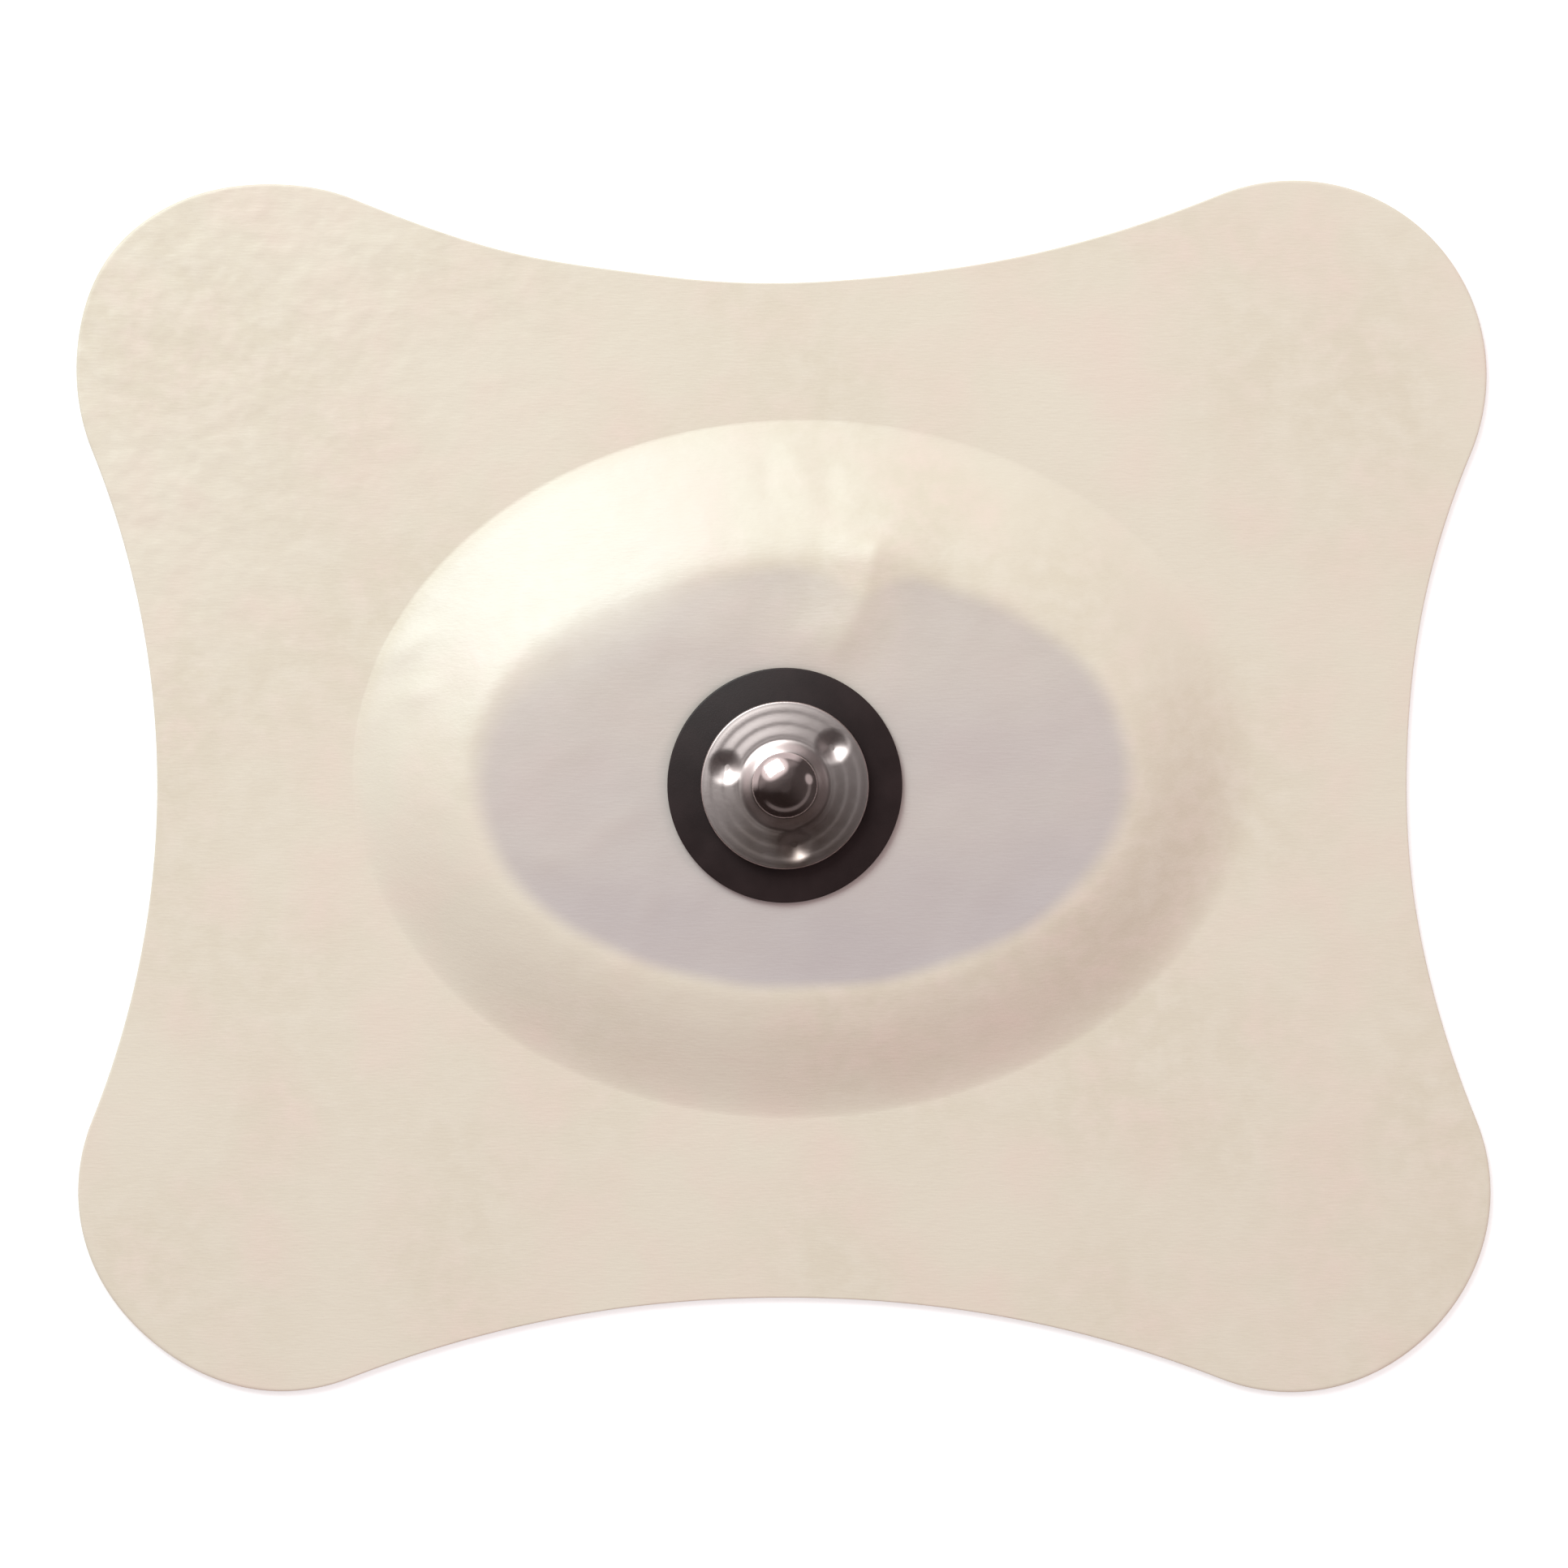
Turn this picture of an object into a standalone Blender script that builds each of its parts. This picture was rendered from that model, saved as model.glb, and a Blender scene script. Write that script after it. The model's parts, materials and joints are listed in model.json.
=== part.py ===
"""Iontophoresis electrode: a four-lobed adhesive patch with an oval drug pad and a snap stud.

The patch lies flat, adhesive face down. The origin is the middle of its outline on the adhesive
face, +X runs along the long axis, +Y along the short one, and +Z points out of the snap stud.
All lengths are in metres. From the skin up, the pieces are the absorbent pad, the eyelet, the
conductive film, the formed backing sheet, the plastic washer and the stamped stud.
"""

import math

import bmesh
import bpy
from mathutils import Matrix, Vector

# Outline of the backing sheet: four round lobes joined by four shallow hollows
PATCH_LENGTH = 0.0871
PATCH_WIDTH = 0.0748
LOBE_RADIUS = 0.0122
LONG_SIDE_HOLLOW = 0.0060
SHORT_SIDE_HOLLOW = 0.0049
SHEET_THICKNESS = 0.0004

# Raised oval of the backing sheet, worked out from the film that it covers
DOME_CENTRE = Vector((0.0008, 0.0010))
DOME_TURN = math.radians(1.4)
DOME_RISE = 0.0030
FILM_MARGIN = 0.0008
SLOPE_AT_ENDS = 0.0066
SLOPE_AT_SIDES = 0.00785
FOOT_SOFTNESS = 1.3

# Conductive film, an oval laid a little below the middle of the dome
FILM_LENGTH = 0.0400
FILM_WIDTH = 0.0257
FILM_THICKNESS = 0.0002
FILM_SHIFT = Vector((0.00015, -0.00037))

# Absorbent pad, pressed thin at its edge by the backing sheet
PAD_EDGE = 0.0008

# Space left between two pieces that are glued, pressed or riveted together
SEAT_GAP = 0.00025

# Plastic washer under the stud
WASHER_DIAMETER = 0.0144
WASHER_THICKNESS = 0.0005
WASHER_ROUNDING = 0.00012

# Stamped stud: thin metal, a hemmed flange with pressed rings, a boss, a neck and a round head
METAL = 0.0002
FLANGE_DIAMETER = 0.0103
HEM_WIDTH = 0.0006
RING_COUNT = 3
RING_STEP = 0.00012
RING_STEP_RUN = 0.00010
BOSS_DIAMETER = 0.0058
BOSS_HEIGHT = 0.0005
NECK_FILLET = 0.00015
NECK_HEIGHT = 0.00045
HEAD_DIAMETER = 0.0040
HEAD_UNDERCUT = 0.0003
HEAD_FLANK = 0.00055
HEAD_CROWN = 0.0010

# Dents that grip the washer, pressed into the flange between the boss and the hem
DENT_COUNT = 3
DENT_RADIUS = 0.0010
DENT_DEPTH = 0.0003
FIRST_DENT = math.radians(39.7)

# Eyelet: a flat flange under the film and a barrel that is flared inside the stud's head
EYELET_DIAMETER = 0.0080
EYELET_FLANGE = 0.0003
BARREL_WALL = 0.00025
BARREL_FLOOR = 0.0003

# How finely curves are drawn
SIDE_STEPS = 5
LOBE_STEPS = 12
LONG_STEPS = 7
SLOPE_STEPS = 7
OVAL_STEPS = 56
STUD_STEPS = 60
WASHER_STEPS = 56
EYELET_STEPS = 32
SHARP_ANGLE = math.radians(32)

# Levels of the stack, each read from the piece below it
PLATEAU_UNDER = DOME_RISE
PLATEAU_TOP = PLATEAU_UNDER + SHEET_THICKNESS
PAD_TOP = PLATEAU_UNDER - SEAT_GAP
FILM_TOP = PLATEAU_UNDER - SEAT_GAP
FILM_UNDER = FILM_TOP - FILM_THICKNESS
FILM_SEAT = FILM_UNDER - SEAT_GAP
EYELET_TOP = FILM_SEAT
EYELET_UNDER = EYELET_TOP - EYELET_FLANGE
EYELET_SEAT = EYELET_UNDER - SEAT_GAP
WASHER_UNDER = PLATEAU_TOP + SEAT_GAP
STUD_BASE = WASHER_UNDER + WASHER_THICKNESS + SEAT_GAP

# Levels of the stud, counted from its own base
RIM_TOP = 2 * METAL
LAND_TOP = RIM_TOP + (RING_COUNT - 1) * RING_STEP
BOSS_TOP = LAND_TOP + BOSS_HEIGHT
NECK_TOP = BOSS_TOP + NECK_HEIGHT
HEAD_WIDEST = NECK_TOP + HEAD_FLANK
HEAD_TOP = HEAD_WIDEST + HEAD_CROWN

# Radii of the snap, from the head inward and outward
HEAD_RADIUS = HEAD_DIAMETER / 2
NECK_RADIUS = HEAD_RADIUS - HEAD_UNDERCUT
BOSS_RADIUS = BOSS_DIAMETER / 2
FLANGE_RADIUS = FLANGE_DIAMETER / 2
HEAD_BORE = HEAD_RADIUS - METAL
NECK_BORE = NECK_RADIUS - METAL
BARREL_RADIUS = NECK_BORE - SEAT_GAP
FLARE_RADIUS = HEAD_BORE - SEAT_GAP
PASSAGE_RADIUS = BARREL_RADIUS + SEAT_GAP


def finish(name, colour, roughness, metallic=0.0):
    """A plain material from an sRGB hex colour."""
    material = bpy.data.materials.new(name)
    material.use_nodes = True
    shader = material.node_tree.nodes["Principled BSDF"]
    shades = [int(colour[i:i + 2], 16) / 255 for i in (0, 2, 4)]
    linear = [((shade + 0.055) / 1.055) ** 2.4 for shade in shades]
    shader.inputs["Base Color"].default_value = (*linear, 1.0)
    shader.inputs["Roughness"].default_value = roughness
    shader.inputs["Metallic"].default_value = metallic
    return material


def add_piece(name, bm, materials, parent, height=0.0):
    """Link a finished mesh as a named object, smooth over its curves and sharp at its edges."""
    bmesh.ops.recalc_face_normals(bm, faces=bm.faces)
    mesh = bpy.data.meshes.new(name)
    bm.to_mesh(mesh)
    bm.free()
    for material in materials:
        mesh.materials.append(material)
    mesh.shade_smooth()
    mesh.set_sharp_from_angle(angle=SHARP_ANGLE)
    piece = bpy.data.objects.new(name, mesh)
    piece.location.z = height
    piece.parent = parent
    bpy.context.scene.collection.objects.link(piece)
    return piece


def loft(loops, ring=False):
    """Skin a row of loops with equal numbers of points, as a ring or with flat ends."""
    bm = bmesh.new()
    rows = [[bm.verts.new(point) for point in loop] for loop in loops]
    spans = list(zip(rows, rows[1:]))
    if ring:
        spans.append((rows[-1], rows[0]))
    else:
        bm.faces.new(rows[0])
        bm.faces.new(rows[-1])
    for near, far in spans:
        for i in range(len(near)):
            bm.faces.new((near[i - 1], near[i], far[i], far[i - 1]))
    return bm


def turn(profile, steps, closed=False, start=0.0):
    """Spin a profile of (radius, height) points about the Z axis."""
    bm = bmesh.new()
    bearing = Matrix.Rotation(start, 3, "Z")
    verts = [bm.verts.new(bearing @ Vector((radius, 0.0, height))) for radius, height in profile]
    edges = [bm.edges.new(pair) for pair in zip(verts, verts[1:])]
    if closed:
        edges.append(bm.edges.new((verts[-1], verts[0])))
    bmesh.ops.spin(bm, geom=verts + edges, axis=(0, 0, 1), angle=math.tau, steps=steps, use_merge=True)
    bmesh.ops.remove_doubles(bm, verts=bm.verts, dist=METAL / 1000)
    return bm


def arc(centre, across, up, start, end, steps):
    """Profile points on an elliptical arc, from one angle in degrees to another."""
    angles = [math.radians(start + (end - start) * i / steps) for i in range(steps + 1)]
    return [(centre[0] + across * math.cos(angle), centre[1] + up * math.sin(angle)) for angle in angles]


def ease(start, end, steps):
    """Profile points on a soft S-curve, level at both ends."""
    points = []
    for i in range(steps + 1):
        share = i / steps
        blend = (1 - math.cos(math.pi * share)) / 2
        points.append((start[0] + (end[0] - start[0]) * share, start[1] + (end[1] - start[1]) * blend))
    return points


def patch_outline():
    """Points round the patch: half of each hollow and one lobe, in all four quarters."""
    lobe = Vector((PATCH_LENGTH / 2 - LOBE_RADIUS, PATCH_WIDTH / 2 - LOBE_RADIUS))
    long_radius = (lobe.x ** 2 + LONG_SIDE_HOLLOW ** 2) / (2 * LONG_SIDE_HOLLOW) - LOBE_RADIUS
    short_radius = (lobe.y ** 2 + SHORT_SIDE_HOLLOW ** 2) / (2 * SHORT_SIDE_HOLLOW) - LOBE_RADIUS
    long_centre = Vector((0.0, PATCH_WIDTH / 2 - LONG_SIDE_HOLLOW + long_radius))
    short_centre = Vector((PATCH_LENGTH / 2 - SHORT_SIDE_HOLLOW + short_radius, 0.0))
    short_bearing = math.atan2(short_centre.y - lobe.y, short_centre.x - lobe.x)
    long_bearing = math.atan2(long_centre.y - lobe.y, long_centre.x - lobe.x)

    quarter = []
    for i in range(SIDE_STEPS):
        angle = math.pi + short_bearing * i / SIDE_STEPS
        quarter.append(short_centre + short_radius * Vector((math.cos(angle), math.sin(angle))))
    for i in range(LOBE_STEPS):
        angle = short_bearing + (long_bearing - short_bearing) * i / LOBE_STEPS
        quarter.append(lobe + LOBE_RADIUS * Vector((math.cos(angle), math.sin(angle))))
    for i in range(LONG_STEPS):
        angle = long_bearing + math.pi + (math.pi / 2 - long_bearing) * i / LONG_STEPS
        quarter.append(long_centre + long_radius * Vector((math.cos(angle), math.sin(angle))))

    top = Vector((0.0, long_centre.y - long_radius))
    right_half = [Vector((point.x, -point.y)) for point in reversed(quarter[1:])] + quarter
    left_half = [-point for point in right_half]
    return right_half + [top] + left_half + [-top]


def even_bearings(count):
    """Bearings at an even spacing round a full turn."""
    return [math.tau * i / count for i in range(count)]


def oval(half_length, half_width, centre, bearings):
    """Points of an oval turned with the dome, one on each bearing from its centre."""
    points = []
    for bearing in bearings:
        across = half_width * math.cos(bearing)
        along = half_length * math.sin(bearing)
        reach = half_length * half_width / math.hypot(across, along)
        heading = bearing + DOME_TURN
        points.append(centre + reach * Vector((math.cos(heading), math.sin(heading))))
    return points


def dome_oval(share, bearings):
    """Oval on the dome's slope: share 0 is its foot and share 1 the edge of its flat top."""
    run = 1 - share
    half_length = FILM_LENGTH / 2 + FILM_MARGIN + SLOPE_AT_ENDS * run
    half_width = FILM_WIDTH / 2 + FILM_MARGIN + SLOPE_AT_SIDES * run
    return oval(half_length, half_width, DOME_CENTRE, bearings)


def dome_height(share):
    """Height of the sheet's underside on the dome's slope, steep at its foot and level at the top."""
    return DOME_RISE * math.sin(math.pi / 2 * share) ** FOOT_SOFTNESS


def film_oval(spare, bearings):
    """Outline of the film, made larger all round by a spare width."""
    centre = DOME_CENTRE + FILM_SHIFT
    return oval(FILM_LENGTH / 2 + spare, FILM_WIDTH / 2 + spare, centre, bearings)


def circle(radius, bearings):
    """Circle round the snap's axis."""
    return [radius * Vector((math.cos(bearing), math.sin(bearing))) for bearing in bearings]


def at_height(loop, height):
    """The flat loop lifted to a height."""
    return [Vector((point.x, point.y, height)) for point in loop]


def backing_sheet(parent):
    """One sheet of nonwoven tape: flat skirt, formed oval dome and a hole for the eyelet."""
    outline = patch_outline()
    bearings = [math.atan2(point.y, point.x) for point in outline]
    loops = [(outline, 0.0)]
    for i in range(SLOPE_STEPS + 1):
        share = i / SLOPE_STEPS
        loops.append((dome_oval(share, bearings), dome_height(share)))
    loops.append((film_oval(0.0, bearings), PLATEAU_UNDER))
    loops.append((circle(PASSAGE_RADIUS, bearings), PLATEAU_UNDER))
    under = [at_height(loop, height) for loop, height in loops]
    over = [at_height(loop, height + SHEET_THICKNESS) for loop, height in reversed(loops)]
    bm = loft(under + over, ring=True)

    bm.faces.ensure_lookup_table()
    film_band = len(loops) * len(outline)
    for face in bm.faces[film_band:film_band + len(outline)]:
        face.material_index = 1
    cream = finish("nonwoven_tape", "E4D9C6", 0.85)
    grey = finish("nonwoven_tape_over_film", "CBC0BD", 0.8)
    add_piece("backing_sheet", bm, [cream, grey], parent)


def conductive_film(parent):
    """Oval of coated film that spreads the current, with a hole for the eyelet."""
    bearings = even_bearings(OVAL_STEPS)
    edge = film_oval(0.0, bearings)
    hole = circle(PASSAGE_RADIUS, bearings)
    loops = [at_height(edge, 0.0), at_height(edge, FILM_THICKNESS)]
    loops += [at_height(hole, FILM_THICKNESS), at_height(hole, 0.0)]
    silver = finish("silver_coated_film", "9B9896", 0.45, 0.6)
    add_piece("conductive_film", loft(loops, ring=True), [silver], parent, FILM_UNDER)


def reservoir_pad(parent):
    """Absorbent pad that fills the dome, with seats for the film and the eyelet's flange."""
    bearings = even_bearings(OVAL_STEPS)
    edge_rise = (PAD_EDGE + SEAT_GAP) / DOME_RISE
    edge_share = math.asin(edge_rise ** (1 / FOOT_SOFTNESS)) / (math.pi / 2)
    loops = [at_height(dome_oval(edge_share, bearings), 0.0)]
    for i in range(SLOPE_STEPS + 1):
        share = edge_share + (1 - edge_share) * i / SLOPE_STEPS
        loops.append(at_height(dome_oval(share, bearings), dome_height(share) - SEAT_GAP))
    film_seat = film_oval(SEAT_GAP, bearings)
    loops.append(at_height(film_seat, PAD_TOP))
    loops.append(at_height(film_seat, FILM_SEAT))
    eyelet_seat = circle(EYELET_DIAMETER / 2 + SEAT_GAP, bearings)
    loops.append(at_height(eyelet_seat, FILM_SEAT))
    loops.append(at_height(eyelet_seat, EYELET_SEAT))
    white = finish("absorbent_felt", "F1F0EA", 0.95)
    add_piece("reservoir_pad", loft(loops), [white], parent)


def snap_washer(parent):
    """Round plastic disc that spreads the stud's grip over the sheet."""
    outer = WASHER_DIAMETER / 2
    bend = WASHER_ROUNDING
    profile = [(PASSAGE_RADIUS, 0.0)]
    profile += arc((outer - bend, bend), bend, bend, -90, 0, 3)
    profile += arc((outer - bend, WASHER_THICKNESS - bend), bend, bend, 0, 90, 3)
    profile += [(PASSAGE_RADIUS, WASHER_THICKNESS)]
    black = finish("black_plastic", "2A2729", 0.4)
    add_piece("snap_washer", turn(profile, WASHER_STEPS, closed=True), [black], parent, WASHER_UNDER)


def ring_steps(drop, shift):
    """Steps between the flange's pressed rings, from the hem inward."""
    pitch = (FLANGE_RADIUS - BOSS_RADIUS) / RING_COUNT
    points = []
    for ring in range(RING_COUNT - 1):
        radius = FLANGE_RADIUS - pitch * (ring + 1) - shift
        height = RIM_TOP + RING_STEP * ring - drop
        points.append((radius + RING_STEP_RUN / 2, height))
        points.append((radius - RING_STEP_RUN / 2, height + RING_STEP))
    return points


def stud_profile():
    """Section of the stud, from the top of its head over the outside and back inside."""
    fillet_foot = NECK_RADIUS + NECK_FILLET
    outside = arc((0.0, HEAD_WIDEST), HEAD_RADIUS, HEAD_CROWN, 90, 0, 7)
    for share in (0.25, 0.5, 0.75):
        blend = (1 - math.cos(math.pi * share)) / 2
        outside.append((HEAD_RADIUS - HEAD_UNDERCUT * blend, HEAD_WIDEST - HEAD_FLANK * share))
    outside.append((NECK_RADIUS, NECK_TOP))
    outside += arc((fillet_foot, BOSS_TOP + NECK_FILLET), NECK_FILLET, NECK_FILLET, 180, 270, 3)
    outside += ease((fillet_foot, BOSS_TOP), (BOSS_RADIUS, LAND_TOP), 5)[1:]
    outside += reversed(ring_steps(0.0, 0.0))
    outside += arc((FLANGE_RADIUS - METAL, METAL), METAL, METAL, 90, -90, 6)

    hem = FLANGE_RADIUS - HEM_WIDTH
    inside = [(hem, 0.0), (hem, METAL)]
    inside += ring_steps(METAL, METAL * math.tan(math.pi / 8))
    inside += ease((BOSS_RADIUS - METAL / 2, LAND_TOP - METAL), (NECK_BORE, BOSS_TOP - METAL / 2), 5)
    inside += [(NECK_BORE, NECK_TOP)]
    inside += arc((0.0, HEAD_WIDEST), HEAD_BORE, HEAD_CROWN - METAL, 0, 90, 5)
    return outside + inside


def press_dents(bm):
    """Press round dents between the boss and the hem, no deeper than the washer allows."""
    circle_radius = (BOSS_RADIUS + FLANGE_RADIUS - HEM_WIDTH) / 2
    for i in range(DENT_COUNT):
        angle = FIRST_DENT + math.tau * i / DENT_COUNT
        centre = circle_radius * Vector((math.cos(angle), math.sin(angle)))
        for vert in bm.verts:
            away = (vert.co.xy - centre).length / DENT_RADIUS
            if away < 1:
                push = DENT_DEPTH * math.cos(math.pi / 2 * away) ** 2
                vert.co.z = max(vert.co.z - push, min(vert.co.z, 0.0))


def snap_stud(parent):
    """The stamped stud that the lead's snap socket grips."""
    bm = turn(stud_profile(), STUD_STEPS, start=FIRST_DENT)
    press_dents(bm)
    nickel = finish("nickel_plated_brass", "B4ADAB", 0.18, 1.0)
    add_piece("snap_stud", bm, [nickel], parent, STUD_BASE)


def snap_eyelet(parent):
    """Rivet half of the snap, flanged under the film and flared inside the head."""
    barrel_foot = EYELET_FLANGE
    neck = STUD_BASE + NECK_TOP - EYELET_UNDER
    tip = STUD_BASE + HEAD_WIDEST - EYELET_UNDER
    bore = BARREL_RADIUS - BARREL_WALL
    flange_edge = EYELET_DIAMETER / 2
    rounding = EYELET_FLANGE / 2
    profile = [(0.0, 0.0)]
    profile += arc((flange_edge - rounding, rounding), rounding, rounding, -90, 90, 4)
    profile += [(BARREL_RADIUS, barrel_foot), (BARREL_RADIUS, neck)]
    lip = BARREL_WALL / 2
    profile += arc((FLARE_RADIUS - lip, tip - lip), lip, lip, 0, 180, 4)
    profile += [(bore, neck), (bore, BARREL_FLOOR), (0.0, BARREL_FLOOR)]
    silver = finish("silver_plated_brass", "C9C7C2", 0.3, 1.0)
    add_piece("snap_eyelet", turn(profile, EYELET_STEPS), [silver], parent, EYELET_UNDER)


def build():
    """Clear the scene and make the electrode's six pieces."""
    for old in list(bpy.data.objects):
        bpy.data.objects.remove(old)
    electrode = bpy.data.objects.new("electrode", None)
    bpy.context.scene.collection.objects.link(electrode)
    backing_sheet(electrode)
    conductive_film(electrode)
    reservoir_pad(electrode)
    snap_eyelet(electrode)
    snap_washer(electrode)
    snap_stud(electrode)


build()
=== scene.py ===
"""Dresses the packed iontophoresis electrode: tape, pad, film, washer and snap, on a white table."""

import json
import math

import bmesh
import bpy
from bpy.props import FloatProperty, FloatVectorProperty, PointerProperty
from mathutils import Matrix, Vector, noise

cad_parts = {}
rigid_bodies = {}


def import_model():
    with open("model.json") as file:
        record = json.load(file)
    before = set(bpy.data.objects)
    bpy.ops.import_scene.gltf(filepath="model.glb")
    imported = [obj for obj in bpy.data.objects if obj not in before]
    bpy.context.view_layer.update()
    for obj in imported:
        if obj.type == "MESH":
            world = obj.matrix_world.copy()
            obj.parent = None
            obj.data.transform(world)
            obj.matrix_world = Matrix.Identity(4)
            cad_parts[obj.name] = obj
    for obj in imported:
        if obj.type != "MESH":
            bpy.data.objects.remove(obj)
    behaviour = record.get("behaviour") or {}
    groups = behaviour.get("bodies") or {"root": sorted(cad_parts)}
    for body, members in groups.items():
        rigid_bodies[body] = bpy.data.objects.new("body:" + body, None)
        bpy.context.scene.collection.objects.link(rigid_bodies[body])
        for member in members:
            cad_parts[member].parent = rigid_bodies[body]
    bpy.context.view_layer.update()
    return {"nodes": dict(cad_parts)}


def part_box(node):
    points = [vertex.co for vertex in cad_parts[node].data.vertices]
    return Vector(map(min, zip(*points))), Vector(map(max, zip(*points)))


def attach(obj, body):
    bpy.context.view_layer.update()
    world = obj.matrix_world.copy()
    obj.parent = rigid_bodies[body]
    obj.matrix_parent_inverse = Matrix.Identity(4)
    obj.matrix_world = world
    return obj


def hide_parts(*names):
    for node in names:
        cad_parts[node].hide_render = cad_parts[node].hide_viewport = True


bl_info = {
    "name": "Iontophoresis Electrode",
    "version": (1, 0, 0),
    "blender": (4, 5, 0),
    "location": "3D View > Sidebar > Electrode",
    "description": "Builds a four-lobed skin patch with a raised drug pad and a metal snap stud",
    "category": "Add Mesh",
}

for leftover in list(bpy.data.objects):
    bpy.data.objects.remove(leftover)
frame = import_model()

MM = 0.001
BODY = "root"

# Boxes of the frame's nodes, which give every piece its place and outer size
SHEET_LOW, SHEET_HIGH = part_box("backing_sheet")
FILM_LOW, FILM_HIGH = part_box("conductive_film")
PAD_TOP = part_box("reservoir_pad")[1].z
EYELET_LOW, EYELET_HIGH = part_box("snap_eyelet")
WASHER_LOW, WASHER_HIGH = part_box("snap_washer")
STUD_LOW, STUD_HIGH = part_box("snap_stud")
PATCH_LENGTH = SHEET_HIGH.x - SHEET_LOW.x
PATCH_WIDTH = SHEET_HIGH.y - SHEET_LOW.y
FILM_CENTRE = Vector(((FILM_LOW.x + FILM_HIGH.x) / 2, (FILM_LOW.y + FILM_HIGH.y) / 2))
FILM_HALF = Vector(((FILM_HIGH.x - FILM_LOW.x) / 2, (FILM_HIGH.y - FILM_LOW.y) / 2))
STUD_CENTRE = (STUD_LOW + STUD_HIGH) / 2
FLANGE_RADIUS = (STUD_HIGH.x - STUD_LOW.x) / 2
WASHER_RADIUS = (WASHER_HIGH.x - WASHER_LOW.x) / 2

# Gap that each piece keeps from the next, and the radius of the hole that the eyelet passes through
SEAT_GAP = 0.25 * MM
SNAP_HOLE = 1.5 * MM


def linear(colour):
    """Linear RGB from an sRGB hex colour."""
    shades = [int(colour[i:i + 2], 16) / 255 for i in (0, 2, 4)]
    return tuple(s / 12.92 if s <= 0.04045 else ((s + 0.055) / 1.055) ** 2.4 for s in shades)


def length_setting(name, description, default):
    """A length property, shown in the scene's units."""
    return FloatProperty(name=name, description=description, default=default, unit="LENGTH", precision=5)


def colour_setting(name, description, default):
    """A colour property from an sRGB hex colour."""
    return FloatVectorProperty(
        name=name, description=description, default=linear(default), subtype="COLOR", size=3, min=0, max=1
    )


class SheetSettings(bpy.types.PropertyGroup):
    """Sizes and colours of the nonwoven backing sheet"""

    thickness: length_setting("Thickness", "Thickness of the tape", 0.4 * MM)
    lobe_radius: length_setting("Lobe radius", "Radius of the four round lobes", 12.2 * MM)
    long_hollow: length_setting("Long side hollow", "Depth of the hollow in each long side", 6.0 * MM)
    short_hollow: length_setting("Short side hollow", "Depth of the hollow in each short side", 4.9 * MM)
    slope_ends: length_setting("Slope at ends", "Run of the dome's slope at its ends", 7.4 * MM)
    slope_sides: length_setting("Slope at sides", "Run of the dome's slope at its sides", 8.65 * MM)
    cream: colour_setting("Cream", "Colour of the tape", "E0D6C5")
    blush: colour_setting("Blush", "Slightly pinker colour in soft patches", "E2D2C3")
    shade: colour_setting("Mottle", "Darker colour between the fibre bundles", "DACFBC")
    over_film: colour_setting("Over film", "Colour of the tape where the film shows through", "BEB4B2")
    # The taut colour is a painted highlight: it pales the slope that faces the key light, in place of the
    # tape's sheen there
    taut: colour_setting("Taut", "Paler colour of the tape where it is stretched thin", "F2F1EE")


class PadSettings(bpy.types.PropertyGroup):
    """Colours of the absorbent pad and the film on it"""

    white: colour_setting("White", "Colour of the dry felt", "F3F1EA")
    coat: colour_setting("Coat", "Colour of the film's silver coating", "A9A6A3")


class SnapSettings(bpy.types.PropertyGroup):
    """Sizes and colours of the washer, stud and eyelet"""

    metal: length_setting("Metal", "Thickness of the stamped metal", 0.2 * MM)
    head_diameter: length_setting("Head", "Diameter of the stud's head", 4.0 * MM)
    undercut: length_setting("Undercut", "How far the neck lies inside the head", 0.3 * MM)
    boss_diameter: length_setting("Boss", "Diameter of the boss at its foot", 5.8 * MM)
    boss_height: length_setting("Boss height", "Height of the boss over the flange", 0.5 * MM)
    flange_rise: length_setting("Flange rise", "Rise of the flange from its rim to the boss", 0.24 * MM)
    ring_height: length_setting("Ring height", "Height of each pressed ring", 0.012 * MM)
    hem: length_setting("Hem", "Width of the hem under the flange", 0.6 * MM)
    dent_radius: length_setting("Dent radius", "Radius of each pressed dent", 1.2 * MM)
    dent_depth: length_setting("Dent depth", "Depth of each pressed dent", 0.32 * MM)
    nickel: colour_setting("Nickel", "Colour of the nickel plate", "E2CDCB")
    silver: colour_setting("Silver", "Colour of the eyelet's silver plate", "DAD7D0")
    # The brass colour on the side away from the window is partly painted shade
    brass: colour_setting("Brass", "Colour of the dull brass where the plate is worn", "86695A")
    # Painted shade: this dark colour in the groove round the neck stands in for the shadow under the head
    neck_shade: colour_setting("Neck shade", "Dark colour in the groove round the neck", "4A4240")
    black: colour_setting("Black", "Colour of the plastic washer", "2B1E1E")


class StageSettings(bpy.types.PropertyGroup):
    """Camera, lights and table"""

    frame_width: length_setting("Frame width", "Width of the picture at the patch", 96.6 * MM)
    camera_height: length_setting("Camera height", "Height of the camera over the table", 620 * MM)
    key_power: FloatProperty(name="Key", description="Power of the key light in watts", default=1.52)
    lamp_power: FloatProperty(name="Lamp", description="Power of the weak side lamp in watts", default=0.24)
    fill: FloatProperty(name="Fill", description="Strength of the even light from all sides", default=0.65)
    window_tint: colour_setting("Window tint", "Colour of the key light", "E9FFFD")
    lamp_tint: colour_setting("Lamp tint", "Colour of the weak side lamp", "FFEDE6")
    fill_tint: colour_setting("Fill tint", "Colour of the even light", "FFEEF1")
    table: colour_setting("Table", "Colour of the table top", "DCDCDC")
    scrim: colour_setting("Scrim", "Colour of the net's black cloth", "332D2B")


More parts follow.
